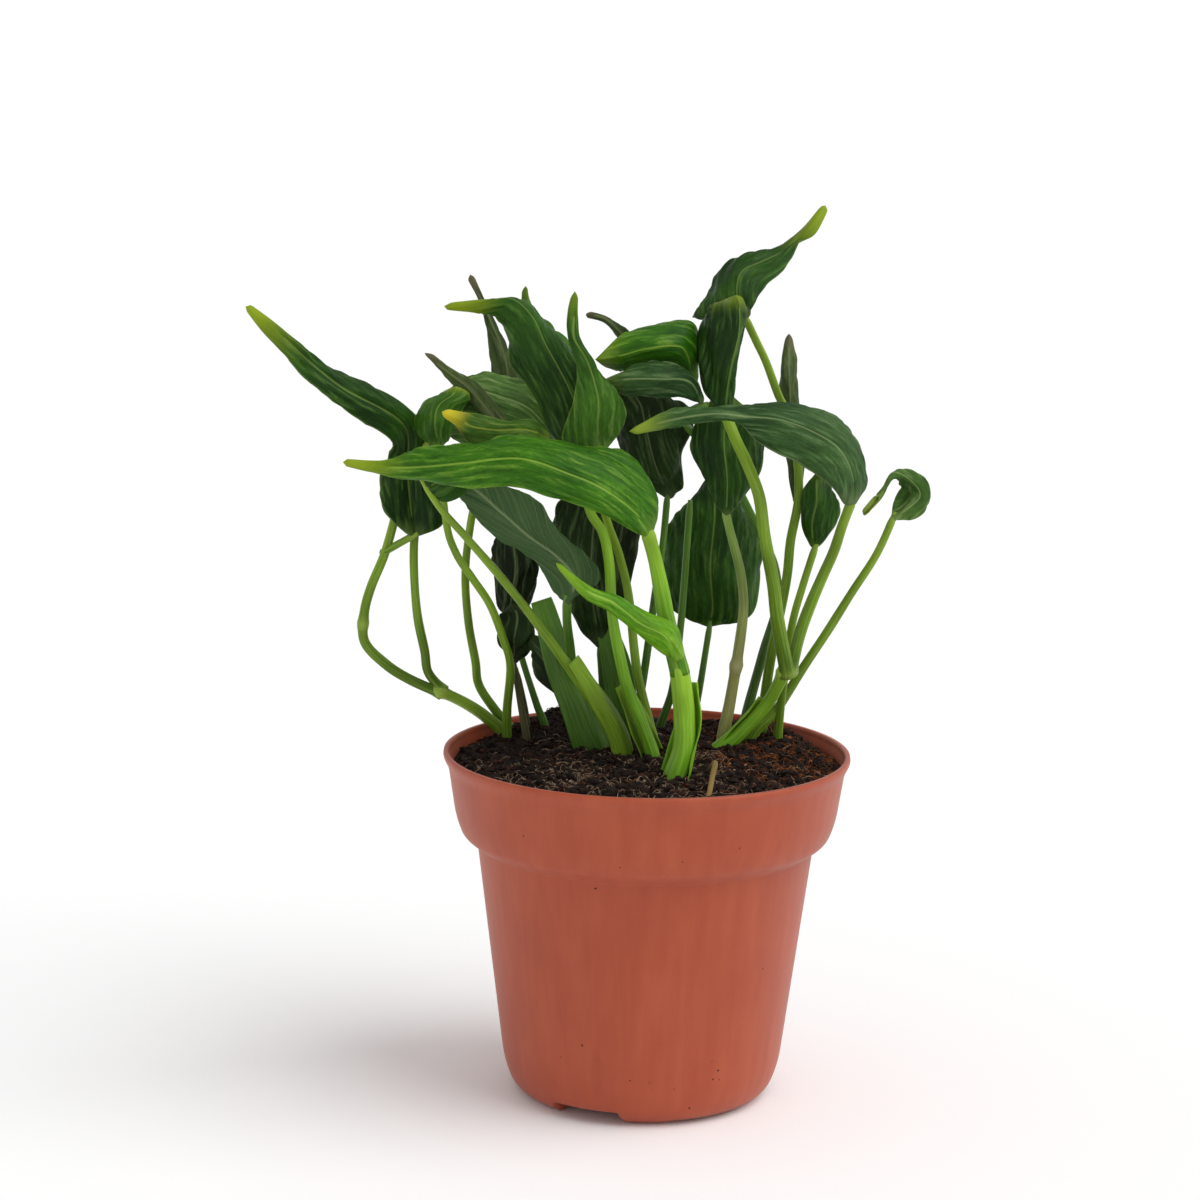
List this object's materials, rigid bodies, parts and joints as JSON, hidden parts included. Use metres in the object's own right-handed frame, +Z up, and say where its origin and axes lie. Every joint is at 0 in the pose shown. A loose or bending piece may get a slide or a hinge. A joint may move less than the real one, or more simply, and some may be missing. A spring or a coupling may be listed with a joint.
{
  "type": "potted pothos",
  "caption": "Young pothos with drooping folded leaves and blunt drip tips on arching petioles, in a round thin-wall nursery pot of dark potting mix.",
  "frame": {"origin": "on the pot's axis at the level of the surface it stands on", "axes": "+Z up along the pot's axis, -Y the front, +X to the right seen from the front"},
  "size_m": [0.1987, 0.12, 0.2624],
  "materials": {
    "pot_plastic": "terracotta-coloured injection-moulded polypropylene, satin",
    "potting_mix": "damp dark peat and coir mix with pale fibres",
    "leaf": "dark green pleated leaf, waxy semi-gloss",
    "young_leaf": "young yellow-green leaf, waxy semi-gloss",
    "petiole": "smooth yellow-green leaf stalk, semi-gloss",
    "root": "tan aerial root, matte"
  },
  "bodies": {
    "root": {"pot": "pot_plastic", "soil": "potting_mix", "stem_left": "petiole", "petiole_outer_left": "petiole", "petiole_far_left": "petiole", "petiole_left_inner": "petiole", "petiole_left_third": "petiole", "petiole_left_fourth": "petiole", "sheath_left": "petiole", "petiole_shaded_left": "petiole", "petiole_withered": "petiole", "petiole_diagonal": "petiole", "petiole_sage": "petiole", "petiole_front_left": "petiole", "petiole_front_branch": "petiole", "stem_front": "petiole", "petiole_front_arch": "petiole", "aerial_root": "root", "stem_right": "petiole", "petiole_centre_right": "petiole", "petiole_hanging_dark": "petiole", "petiole_top_right": "petiole", "petiole_right_droop": "petiole", "petiole_bud": "petiole", "petiole_small_right": "petiole", "petiole_back_right": "petiole", "sheath_stub": "petiole", "petiole_low_back": "petiole", "petiole_crumpled": "petiole", "petiole_inner_dark": "petiole", "leaf_far_left": "leaf", "leaf_front_arch": "leaf", "leaf_hooked": "leaf", "leaf_behind_hooked": "leaf", "leaf_centre_spike": "leaf", "leaf_olive_spike": "leaf", "leaf_thin_spike": "leaf", "leaf_pale_dome": "leaf", "leaf_cupped": "young_leaf", "leaf_yellow_tip": "leaf", "leaf_top_right": "leaf", "leaf_hanging_dark": "leaf", "leaf_bright_arch": "leaf", "leaf_pleated": "leaf", "leaf_grey_tip": "leaf", "leaf_right_droop": "leaf", "leaf_small_right": "leaf", "leaf_centre_right": "leaf", "leaf_right_spike": "leaf", "leaf_low_back": "leaf", "leaf_sage_droop": "leaf", "leaf_shaded_left": "leaf", "leaf_low_left": "leaf", "leaf_withered": "leaf", "leaf_young_front": "young_leaf", "leaf_under_arch": "leaf", "leaf_crumpled_back": "leaf", "leaf_inner_dark": "leaf", "leaf_bud": "young_leaf"}
  },
  "joints": []
}
